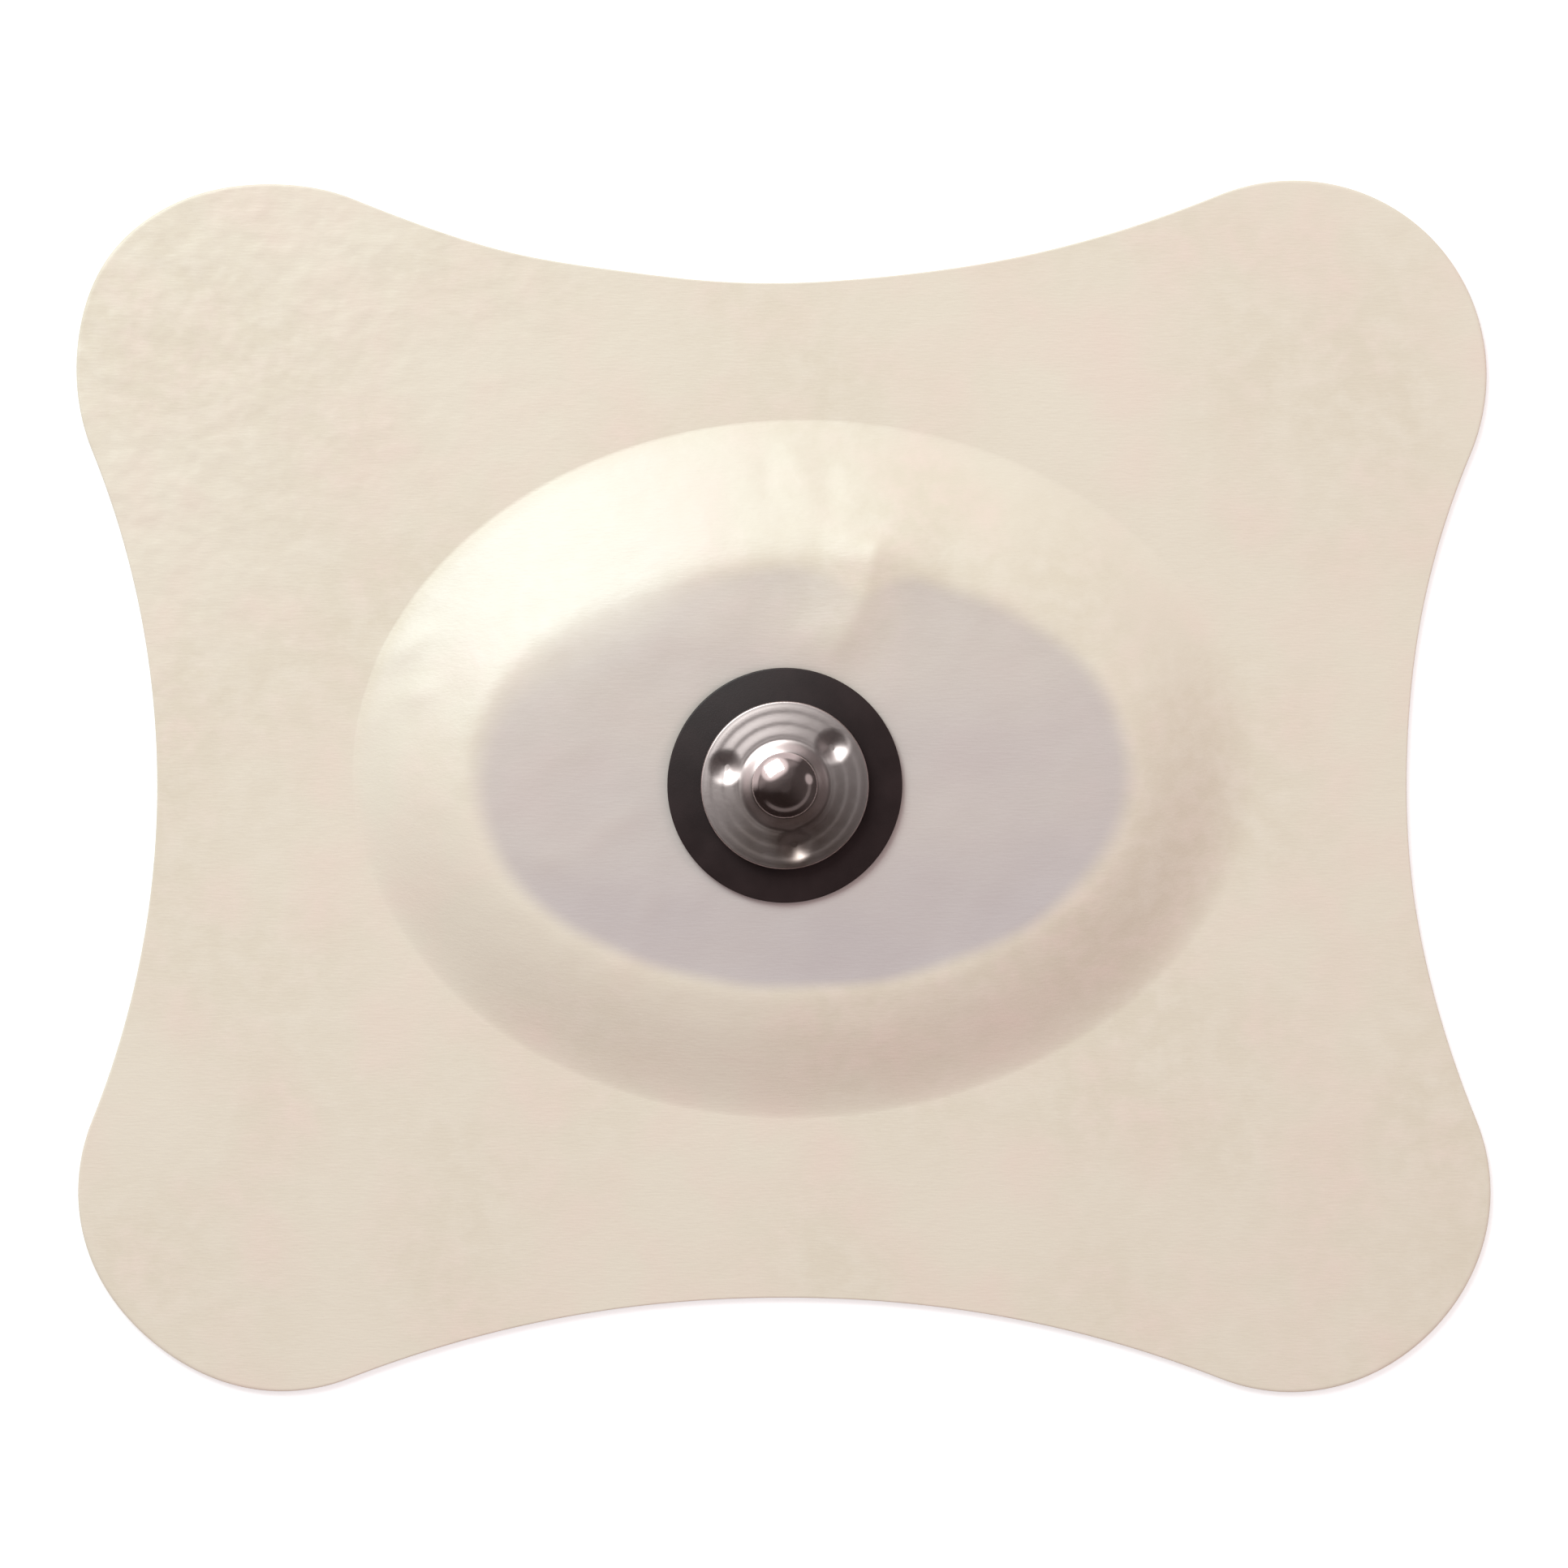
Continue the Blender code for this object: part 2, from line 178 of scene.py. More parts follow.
def node(tree, kind, inputs=None, output=0, **settings):
    """Add a node, set its settings, link or set its inputs, and return one of its outputs."""
    made = tree.nodes.new("ShaderNode" + kind)
    for name, value in settings.items():
        setattr(made, name, value)
    for name, value in (inputs or {}).items():
        if isinstance(value, bpy.types.NodeSocket):
            tree.links.new(value, made.inputs[name])
        else:
            made.inputs[name].default_value = value
    return made.outputs[output]


def new_material(name):
    """An empty node material and the output that its shader goes to."""
    material = bpy.data.materials.new(name)
    material.use_nodes = True
    material.node_tree.nodes.clear()
    output = material.node_tree.nodes.new("ShaderNodeOutputMaterial")
    return material, material.node_tree, output.inputs["Surface"]


def opaque(colour):
    """A colour with full alpha, as node sockets want it."""
    return (*colour, 1.0)


# Way to the corner by which the patch was held when it was peeled off its liner
HELD_CORNER = (-0.76, 0.65, 0)


def spunlaced_tape(name, sheet, adhesive=False):
    """Spunlaced polyester tape: soft blotches of fibre and hardly any sheen.

    It is greyer over the film, cockled at the corner that was held, and paler on the slope that faces the
    key light, where the pale tint is a painted highlight standing in for the tape's sheen.
    The fibres are drawn about five times coarser than the real 0.02 mm so that they show.
    With adhesive it is the same tape seen through its clear, slightly wet acrylic coat.
    """
    material, tree, surface = new_material(name)
    where = node(tree, "TexCoord", output="Object")
    # Noise for the blotches, the cockled corner, and the soft changes of colour and of cloudiness, each
    # with its grain in millimetres
    blotch, cockle, batch, cloud = [
        node(
            tree,
            "TexNoise",
            {"Vector": where, "Scale": 1 / (grain * MM), "Detail": detail, "Roughness": rough},
        )
        for grain, detail, rough in ((1.5, 3.0, 0.6), (2.8, 2.0, 0.6), (6, 2.0, 0.5), (16, 1.0, 0.5))
    ]
    strands = []
    for turn in (20, 110):
        lie = (0, 0, math.radians(turn))
        lay = node(tree, "Mapping", {"Vector": where, "Rotation": lie, "Scale": (0.15, 1, 1)})
        strands.append(node(tree, "TexNoise", {"Vector": lay, "Scale": 1 / (0.14 * MM), "Detail": 1.0}))
    fibres = node(tree, "Math", {0: strands[0], 1: strands[1]}, operation="MAXIMUM")
    patchy = node(tree, "MapRange", {"Value": cloud, "From Min": 0.35, "From Max": 0.65, "To Max": 0.9})
    thin = node(tree, "MapRange", {"Value": blotch, "From Min": 0.68, "From Max": 0.38})
    thin = node(tree, "Math", {0: thin, 1: patchy}, operation="MULTIPLY")
    warm = node(tree, "MapRange", {"Value": batch, "From Min": 0.44, "From Max": 0.7})
    show = node(tree, "Attribute", output="Fac", attribute_name="film_show")
    painted_sheen = node(tree, "Attribute", output="Fac", attribute_name="painted_sheen")
    colour = opaque(sheet.cream)
    # The last shade, taut, is a painted highlight on the slope that faces the key light
    shades = ((warm, sheet.blush), (thin, sheet.shade), (show, sheet.over_film), (painted_sheen, sheet.taut))
    for share, shade in shades:
        colour = node(tree, "Mix", {0: share, 6: colour, 7: opaque(shade)}, data_type="RGBA", output=2)
    corner = node(tree, "VectorMath", {0: where, 1: HELD_CORNER}, operation="DOT_PRODUCT", output="Value")
    held = node(
        tree,
        "MapRange",
        {"Value": corner, "From Min": 22 * MM, "From Max": 40 * MM, "To Min": 0.5, "To Max": 17},
    )
    puckers = node(tree, "Math", {0: cockle, 1: held}, operation="MULTIPLY")
    lumps = node(tree, "Math", {0: blotch, 1: 2.5, 2: puckers}, operation="MULTIPLY_ADD")
    height = node(tree, "Math", {0: lumps, 1: fibres}, operation="ADD")
    relief = node(tree, "Bump", {"Height": height, "Distance": 0.02 * MM, "Strength": 0.6})
    shader = node(
        tree,
        "BsdfPrincipled",
        {
            "Base Color": colour,
            "Normal": relief,
            "Roughness": 0.3 if adhesive else 0.4,
            "IOR": 1.47 if adhesive else 1.5,
            "Sheen Weight": 0.0 if adhesive else 0.05,
        },
    )
    tree.links.new(shader, surface)
    return material


def needled_felt(name, pad):
    """Needled viscose felt: white, deeply matt, with a tangle of fibres and small needle pits."""
    material, tree, surface = new_material(name)
    where = node(tree, "TexCoord", output="Object")
    tangle = node(
        tree, "TexNoise", {"Vector": where, "Scale": 1 / (0.35 * MM), "Detail": 4.0, "Distortion": 1.5}
    )
    pits = node(tree, "TexVoronoi", {"Vector": where, "Scale": 1 / (1.1 * MM)})
    depth = node(tree, "MapRange", {"Value": pits, "From Max": 0.35})
    value = node(tree, "MapRange", {"Value": tangle, "To Min": 0.94, "To Max": 1.04})
    colour = node(tree, "HueSaturation", {"Value": value, "Color": opaque(pad.white)})
    fuzz = node(tree, "Bump", {"Height": tangle, "Distance": 0.08 * MM, "Strength": 0.7})
    relief = node(
        tree, "Bump", {"Height": depth, "Distance": 0.12 * MM, "Strength": 0.5, "Normal": fuzz}
    )
    shader = node(
        tree,
        "BsdfPrincipled",
        {
            "Base Color": colour,
            "Normal": relief,
            "Roughness": 0.95,
            "Sheen Weight": 0.3,
            "Specular IOR Level": 0.2,
        },
    )
    tree.links.new(shader, surface)
    return material


def silvered_film(name, coat):
    """Polyester film coated with silver and silver chloride: a grey satin with a fine print grain."""
    material, tree, surface = new_material(name)
    where = node(tree, "TexCoord", output="Object")
    grain = node(tree, "TexNoise", {"Vector": where, "Scale": 1 / (0.2 * MM), "Detail": 3.0})
    rough = node(tree, "MapRange", {"Value": grain, "To Min": 0.38, "To Max": 0.52})
    shade = node(tree, "MapRange", {"Value": grain, "To Min": 0.92, "To Max": 1.05})
    colour = node(tree, "HueSaturation", {"Value": shade, "Color": opaque(coat)})
    relief = node(tree, "Bump", {"Height": grain, "Distance": 0.01 * MM, "Strength": 0.4})
    shader = node(
        tree,
        "BsdfPrincipled",
        {"Base Color": colour, "Metallic": 0.7, "Roughness": rough, "Normal": relief},
    )
    tree.links.new(shader, surface)
    return material


# Middle of the stud's side away from the window, where brass shows through worn plate and painted shade
# darkens it further, and the heights at which the painted shade in the groove round its neck starts and is
# full, from above and from below
WORN_AND_SHADED_SPOT = (0.6 * MM, -3.4 * MM, 5.0 * MM)
GROOVE_ENDS = ((6.85 * MM, 6.75 * MM), (5.45 * MM, 5.6 * MM))


def plated_brass(name, plate, snap, wear_and_shade=0.6):
    """Stamped and barrel-plated brass: satin, with faint rub marks and a side where brass shows.

    The lead's socket keeps the head polished. The side where brass shows is also a painted shade, for the
    dark reflections away from the window, and the groove round the neck gets a painted shade for the shadow
    under the head.
    """
    material, tree, surface = new_material(name)
    where = node(tree, "TexCoord", output="Object")
    cloud = node(tree, "TexNoise", {"Vector": where, "Scale": 1 / (1.6 * MM), "Detail": 2.0})
    rub = node(tree, "Mapping", {"Vector": where, "Rotation": (0, 0, 0.7), "Scale": (0.15, 1, 1)})
    marks = node(tree, "TexNoise", {"Vector": rub, "Scale": 1 / (0.06 * MM), "Detail": 2.0})
    # Brass showing through worn plate, and painted shade on the side away from the window
    reach = node(tree, "VectorMath", {0: where, 1: WORN_AND_SHADED_SPOT}, operation="DISTANCE", output="Value")
    bare_and_shaded = node(tree, "MapRange", {"Value": reach, "From Min": 5.2 * MM, "From Max": 1.5 * MM})
    patchy = node(
        tree,
        "MapRange",
        {"Value": cloud, "From Min": 0.3, "From Max": 0.6, "To Min": wear_and_shade / 2, "To Max": wear_and_shade},
    )
    spots = node(tree, "Math", {0: patchy, 1: bare_and_shaded}, operation="MULTIPLY")
    height = node(tree, "SeparateXYZ", {0: where}, output="Z")
    # Painted shade in the groove round the neck, for the shadow under the head
    groove = 1.0
    for start, full in GROOVE_ENDS:
        end = node(tree, "MapRange", {"Value": height, "From Min": start, "From Max": full})
        groove = node(tree, "Math", {0: groove, 1: end}, operation="MULTIPLY")
    colour = opaque(plate)
    for share, shade in ((spots, snap.brass), (groove, snap.neck_shade)):
        colour = node(tree, "Mix", {0: share, 6: colour, 7: opaque(shade)}, data_type="RGBA", output=2)
    flat = node(tree, "VectorMath", {0: where, 1: (1, 1, 0)}, operation="MULTIPLY")
    radius = node(tree, "VectorMath", {0: flat}, operation="LENGTH", output="Value")
    satin = node(
        tree,
        "MapRange",
        {"Value": radius, "From Min": 1.9 * MM, "From Max": 2.1 * MM, "To Min": 0.1, "To Max": 0.34},
    )
    flange = node(
        tree, "MapRange", {"Value": radius, "From Min": 2.6 * MM, "From Max": 3.2 * MM, "To Max": 0.04}
    )
    satin = node(tree, "Math", {0: satin, 1: flange}, operation="ADD")
    streak = node(tree, "MapRange", {"Value": marks, "From Min": 0.4, "From Max": 0.7, "To Max": 0.05})
    dull = node(tree, "Math", {0: satin, 1: streak}, operation="ADD")
    waves = node(tree, "Bump", {"Height": cloud, "Distance": 0.015 * MM, "Strength": 0.35})
    shader = node(
        tree,
        "BsdfPrincipled",
        {"Base Color": colour, "Metallic": 1.0, "Roughness": dull, "Normal": waves},
    )
    tree.links.new(shader, surface)
    return material


def moulded_plastic(name, black):
    """Moulded black polyamide: a soft sheen over a fine spark-eroded grain, with handling marks."""
    material, tree, surface = new_material(name)
    where = node(tree, "TexCoord", output="Object")
    grain = node(tree, "TexNoise", {"Vector": where, "Scale": 1 / (0.09 * MM), "Detail": 3.0})
    cloud = node(tree, "TexNoise", {"Vector": where, "Scale": 1 / (2.2 * MM), "Detail": 3.0})
    shade = node(
        tree,
        "MapRange",
        {"Value": cloud, "From Min": 0.3, "From Max": 0.7, "To Min": 0.85, "To Max": 1.2},
    )
    colour = node(tree, "HueSaturation", {"Value": shade, "Color": opaque(black)})
    rough = node(tree, "MapRange", {"Value": cloud, "To Min": 0.38, "To Max": 0.5})
    relief = node(tree, "Bump", {"Height": grain, "Distance": 0.01 * MM, "Strength": 0.5})
    shader = node(
        tree,
        "BsdfPrincipled",
        {
            "Base Color": colour,
            "Normal": relief,
            "Roughness": rough,
            "IOR": 1.53,
            "Specular IOR Level": 0.32,
        },
    )
    tree.links.new(shader, surface)
    return material


def add_piece(name, points, faces, materials, slot, *replaced):
    """Make a smooth mesh object that rides on the electrode and stands for its node."""
    mesh = bpy.data.meshes.new(name)
    mesh.from_pydata(points, [], faces)
    shell = bmesh.new()
    shell.from_mesh(mesh)
    bmesh.ops.recalc_face_normals(shell, faces=shell.faces)
    shell.to_mesh(mesh)
    shell.free()
    mesh.shade_smooth()
    mesh.set_sharp_from_angle(angle=math.radians(50))
    for material in materials:
        mesh.materials.append(material)
    piece = bpy.data.objects.new(name, mesh)
    bpy.context.scene.collection.objects.link(piece)
    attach(piece, BODY)
    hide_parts(*replaced)
    return piece


def skin(loops, ring=False, centres=()):
    """Points and faces of a row of loops, joined as a ring or closed with fans to two centres."""
    count = len(loops[0])
    points = [point for loop in loops for point in loop]
    faces = []
    spans = len(loops) if ring else len(loops) - 1
    for row in range(spans):
        near = row * count
        far = (row + 1) % len(loops) * count
        for i in range(count):
            j = (i + 1) % count
            faces.append((near + i, near + j, far + j, far + i))
    for loop_start, centre in zip((0, (len(loops) - 1) * count), centres):
        hub = len(points)
        points.append(centre)
        faces += [(loop_start + i, loop_start + (i + 1) % count, hub) for i in range(count)]
    return points, faces


def turned(profile, steps):
    """Points and faces of a profile of (radius, height) spun about the stud's axis, poles closed."""
    loops = []
    for radius, height in profile[1:-1]:
        loops.append([
            (
                STUD_CENTRE.x + radius * math.cos(math.tau * i / steps),
                STUD_CENTRE.y + radius * math.sin(math.tau * i / steps),
                height,
            )
            for i in range(steps)
        ])
    poles = [(STUD_CENTRE.x, STUD_CENTRE.y, profile[end][1]) for end in (0, -1)]
    return skin(loops, centres=poles)


def smooth(value):
    """Soft step from 0 to 1."""
    value = min(max(value, 0.0), 1.0)
    return value * value * (3 - 2 * value)


def arc(centre, across, up, start, end, steps):
    """Profile points on an elliptical arc, from one angle in degrees to another."""
    angles = [math.radians(start + (end - start) * i / steps) for i in range(steps + 1)]
    return [(centre[0] + across * math.cos(a), centre[1] + up * math.sin(a)) for a in angles]


def patch_outline(sheet, fine):
    """Points round the patch: half of each hollow and one lobe, in all four quarters."""
    lobe = Vector((PATCH_LENGTH / 2 - sheet.lobe_radius, PATCH_WIDTH / 2 - sheet.lobe_radius))
    long_radius = (lobe.x ** 2 + sheet.long_hollow ** 2) / (2 * sheet.long_hollow) - sheet.lobe_radius
    short_radius = (lobe.y ** 2 + sheet.short_hollow ** 2) / (2 * sheet.short_hollow) - sheet.lobe_radius
    long_centre = Vector((0.0, PATCH_WIDTH / 2 - sheet.long_hollow + long_radius))
    short_centre = Vector((PATCH_LENGTH / 2 - sheet.short_hollow + short_radius, 0.0))
    short_bearing = math.atan2(short_centre.y - lobe.y, short_centre.x - lobe.x)
    long_bearing = math.atan2(long_centre.y - lobe.y, long_centre.x - lobe.x)
    arcs = (
        (short_centre, short_radius, math.pi, math.pi + short_bearing, 5 * fine),
        (lobe, sheet.lobe_radius, short_bearing, long_bearing, 12 * fine),
        (long_centre, long_radius, long_bearing + math.pi, 1.5 * math.pi, 7 * fine),
    )
    quarter = []
    for centre, radius, start, end, steps in arcs:
        for i in range(steps):
            angle = start + (end - start) * i / steps
            quarter.append(centre + radius * Vector((math.cos(angle), math.sin(angle))))
    top = Vector((0.0, long_centre.y - long_radius))
    right_half = [Vector((point.x, -point.y)) for point in reversed(quarter[1:])] + quarter
    left_half = [-point for point in right_half]
    return right_half + [top] + left_half + [-top]


# Places where the die-cut edge runs a little inside its even outline, or outside it where the last
# number is negative: bearing and reach in degrees, and how far in, in millimetres
EDGE_PULLS = (
    (20, 20, 0.5), (350, 14, 0.3), (62, 14, 0.3), (96, 22, 0.5), (120, 9, 0.6),
    (130, 4, 0.3), (142, 6, -0.45), (222, 8, 0.4), (320, 9, 0.25), (270, 32, -0.15),
)


def pulled_edge(outline):
    """The outline as it was cut, with its slight unevenness."""
    uneven = []
    for point in outline:
        bearing = math.degrees(math.atan2(point.y, point.x))
        pull = 0.0
        for middle, reach, depth in EDGE_PULLS:
            pull += depth * math.exp(-((math.remainder(bearing - middle, 360) / reach) ** 2))
        uneven.append(point * (1 - pull * MM / point.length))
    return uneven


DOME_CENTRE = Vector((0.8 * MM, 1.0 * MM))
DOME_TURN = math.radians(1.4)

# Bearings on which the tape is pulled tight over the pad, on which it is stretched far over the
# film, and on which it runs out softly, with the longer run of its slope there
TIGHT_SIDE = math.radians(130)
# The stretched side faces the key light, and the pale tint on it is a painted highlight
STRETCHED_SIDE = math.radians(137)
SOFT_END = math.radians(-4)
SOFT_RUN = 0.9 * MM


def bell(bearing, middle, reach):
    """Bell curve round a middle bearing: 1 on it, falling off over a reach in degrees."""
    off = math.remainder(bearing - middle, math.tau) / math.radians(reach)
    return math.exp(-off * off)


def oval(half_length, half_width, centre, bearings):
    """Points of an oval turned with the dome, one on each bearing from its centre."""
    points = []
    for bearing in bearings:
        reach = half_length * half_width / math.hypot(
            half_width * math.cos(bearing), half_length * math.sin(bearing)
        )
        heading = bearing + DOME_TURN
        points.append(centre + reach * Vector((math.cos(heading), math.sin(heading))))
    return points


def dome_oval(sheet, share, bearings):
    """Oval on the dome's slope: share 0 is its foot and share 1 the edge of the film."""
    half_length = FILM_HALF.x + sheet.slope_ends * (1 - share)
    half_width = FILM_HALF.y + sheet.slope_sides * (1 - share)
    points = []
    for point, bearing in zip(oval(half_length, half_width, DOME_CENTRE, bearings), bearings):
        extra = SOFT_RUN * bell(bearing, SOFT_END, 28) * (1 - share)
        points.append(point + (point - DOME_CENTRE).normalized() * extra)
    return points


def slope_share(sheet, point):
    """Place on the dome's slope: 0 at its foot and outside, 1 at the edge of the film and inside."""
    away = Matrix.Rotation(-DOME_TURN, 2) @ (point - DOME_CENTRE)
    from_film = max(math.hypot(away.x / FILM_HALF.x, away.y / FILM_HALF.y) - 1, 0.0)
    to_foot = max(1 - math.hypot(
        away.x / (FILM_HALF.x + sheet.slope_ends), away.y / (FILM_HALF.y + sheet.slope_sides)
    ), 0.0)
    return to_foot / (to_foot + from_film)


def dome_rise(share, bearing):
    """Height of the dome as a share of its full height: taut on the tight side, slack elsewhere."""
    off = abs(math.remainder(bearing - TIGHT_SIDE, math.tau))
    loose = smooth((off - math.radians(34)) / math.radians(30))
    stretched = bell(bearing, STRETCHED_SIDE, 20)
    # Taut tape climbs evenly as far as the turn and is then rounded off until it is level
    turn, level = 0.79 + 0.04 * stretched, 1.02 + 0.23 * stretched
    rounded = max(min(share, level) - turn, 0.0) ** 2 / (2 * (level - turn))
    taut = (min(share, level) - rounded) / ((level + turn) / 2)
    softness = 1.35 + 0.6 * bell(bearing, SOFT_END, 25)
    slack = math.sin(math.pi / 2 * min(share, 1.0)) ** softness
    return taut + (slack - taut) * loose


# How far the film's print in the tape is off the film, as the tape was laid on
TAPE_SLIP = Vector((0.15 * MM, -0.15 * MM))


def film_reach(point):
    """Distance from the middle of the film's print as a share of its oval: 1 is on its edge."""
    away = Matrix.Rotation(-DOME_TURN, 2) @ (point - FILM_CENTRE - TAPE_SLIP)
    return math.hypot(away.x / FILM_HALF.x, away.y / FILM_HALF.y)


# Low ridge in the tape over the edge of the film: its height, and its place and half width as
# shares of the film's oval
LIP_HEIGHT = 0.07 * MM
LIP_REACH = 1.04
LIP_WIDTH = 0.07


def lip_lift(point):
    """Height of the ridge over the film's edge."""
    return LIP_HEIGHT * math.exp(-(((film_reach(point) - LIP_REACH) / LIP_WIDTH) ** 2))


def blend_loops(inner, outer, share):
    """Loop part of the way from one loop to another."""
    return [a.lerp(b, share) for a, b in zip(inner, outer)]


def at_height(loop, height):
    """Level loop at a height over the table."""
    return [(point.x, point.y, height) for point in loop]


# Crease that runs from the dome's shoulder toward the stud: its ends, its height, the widths of its
# rising left and falling right side, and how far it bends and how round it gets toward the stud
CREASE_START = Vector((5.9 * MM, 15.5 * MM))
CREASE_END = Vector((3.8 * MM, 8.2 * MM))
CREASE_HEIGHT = 0.38 * MM
CREASE_RISE = 4.8 * MM
CREASE_DROP = 3.0 * MM
CREASE_BEND = 1.1 * MM
CREASE_ROUND = 0.6 * MM


def crease_share(point):
    """Height of the crease from 0 to 1: a rise from the left to a fold, then a drop.

    The fold is sharp at the shoulder, and bends and softens toward the stud.
    """
    along = CREASE_END - CREASE_START
    share = (point - CREASE_START).dot(along) / along.length_squared
    ends = smooth((share + 0.04) / 0.2) * smooth((1.35 - share) / 0.5)
    right = Vector((-along.y, along.x)).normalized()
    side = (point - CREASE_START).dot(right) + CREASE_BEND * smooth((share - 0.5) / 0.75)
    soft = 0.04 * MM + CREASE_ROUND * smooth(share)
    away = (math.hypot(side, soft) - soft) / (CREASE_DROP if side > 0 else CREASE_RISE)
    return ends * max(1 - away, 0.0) ** 2


# Short soft wrinkles: middle, heading in degrees, half length, half width and height, all lengths
# in millimetres
WRINKLES = (
    ((-13.2, 1.9), 20, 1.6, 0.9, 0.06),
    ((-10.6, -2.4), 35, 1.9, 0.8, 0.06),
    ((-14.4, -4.6), 10, 1.5, 0.9, 0.06),
    ((-8.4, -7.4), 60, 1.4, 0.9, 0.045),
    ((1.2, -10.4), 85, 1.8, 1.1, 0.04),
    ((0.7, 20.0), 125, 1.7, 0.6, 0.06),
    ((-1.1, 19.2), 95, 1.5, 0.6, -0.06),
    ((2.6, 18.4), 100, 2.0, 0.8, -0.06),
    ((-23.4, 8.4), 35, 1.8, 0.8, 0.18),
    ((-22.6, 5.6), 20, 1.6, 0.8, 0.13),
    ((-25.2, 4.2), 65, 1.5, 0.8, 0.09),
)


def wrinkle_lift(point):
    """Height of the short wrinkles at a point."""
    lift = 0.0
    for middle, heading, half_length, half_width, height in WRINKLES:
        turn = math.radians(heading)
        away = point / MM - Vector(middle)
        along = (away.x * math.cos(turn) + away.y * math.sin(turn)) / half_length
        across = (away.y * math.cos(turn) - away.x * math.sin(turn)) / half_width
        lift += height * MM * math.exp(-along * along - across * across)
    return lift


def tape_wave(point, rise):
    """Soft unevenness of the tape, more on the dome than on the skirt."""
    seen = Vector((point.x / (5.0 * MM), point.y / (5.0 * MM), 3.1))
    broad = noise.noise(seen)
    close = noise.noise(seen * 2.3)
    depth = 0.03 * MM + 0.05 * MM * rise
    return depth * (broad + 0.5 * close) * (0.3 + 0.7 * rise)


def film_show(point):
    """How strongly the film shows through the tape, from 0 to 1.

    It shows more towards the bottom and a little towards the right, in soft patches, and less where the
    crease and the wrinkles lift the tape off the film. Along the crease the paler tape is partly a painted
    highlight, for the sheen on the crease's side that faces the key light. Its edge is ragged, and is
    softest on the stretched side.
    """
    ragged = 0.01 * noise.noise(Vector((point.x / (4 * MM), point.y / (4 * MM), 8.0)))
    crease = crease_share(point)
    stretched = bell(math.atan2(point.y, point.x), STRETCHED_SIDE, 22)
    reach = film_reach(point) + 0.12 * crease - ragged
    inside = smooth((1.045 + 0.02 * stretched - reach) / (0.09 + 0.19 * stretched))
    patches = noise.noise(Vector((point.x / (7 * MM), point.y / (5 * MM), 2.0)))
    # Stronger towards the bottom and a little towards the right, in soft patches
    show_strength = 0.75 - 0.29 * point.y / FILM_HALF.y + 0.07 * point.x / FILM_HALF.x + 0.12 * patches
    # Less film under the crease is partly real lifting and partly a painted highlight on the crease's lit
    # side
    lifted_and_lit = 0.55 * math.sqrt(crease) + wrinkle_lift(point) / MM
    return inside * max(show_strength * (1 - lifted_and_lit), 0.0)


def painted_sheen_share(sheet, point):
    """How strongly the painted highlight pales the tape: on the slope that faces the key light and a little
    over the film.
    """
    band = smooth(slope_share(sheet, point) / 0.1) * smooth((film_reach(point) - 0.7) / 0.3)
    return 0.25 * band * bell(math.atan2(point.y, point.x), STRETCHED_SIDE, 30.8)


# Rows of the sheet near its cut edge, as the share of the way out from the dome's foot and of the
# tape's thickness: the edge is slightly rounded
EDGE_ROWS = ((1.0, 0.78), (0.998, 0.93), (0.995, 1.0), (0.99, 1.0), (0.98, 1.0))

# Steps of the skirt, of the dome's slope and of its top, from the outside in
SKIRT_STEPS, SLOPE_STEPS, TOP_STEPS = 19, 50, 38


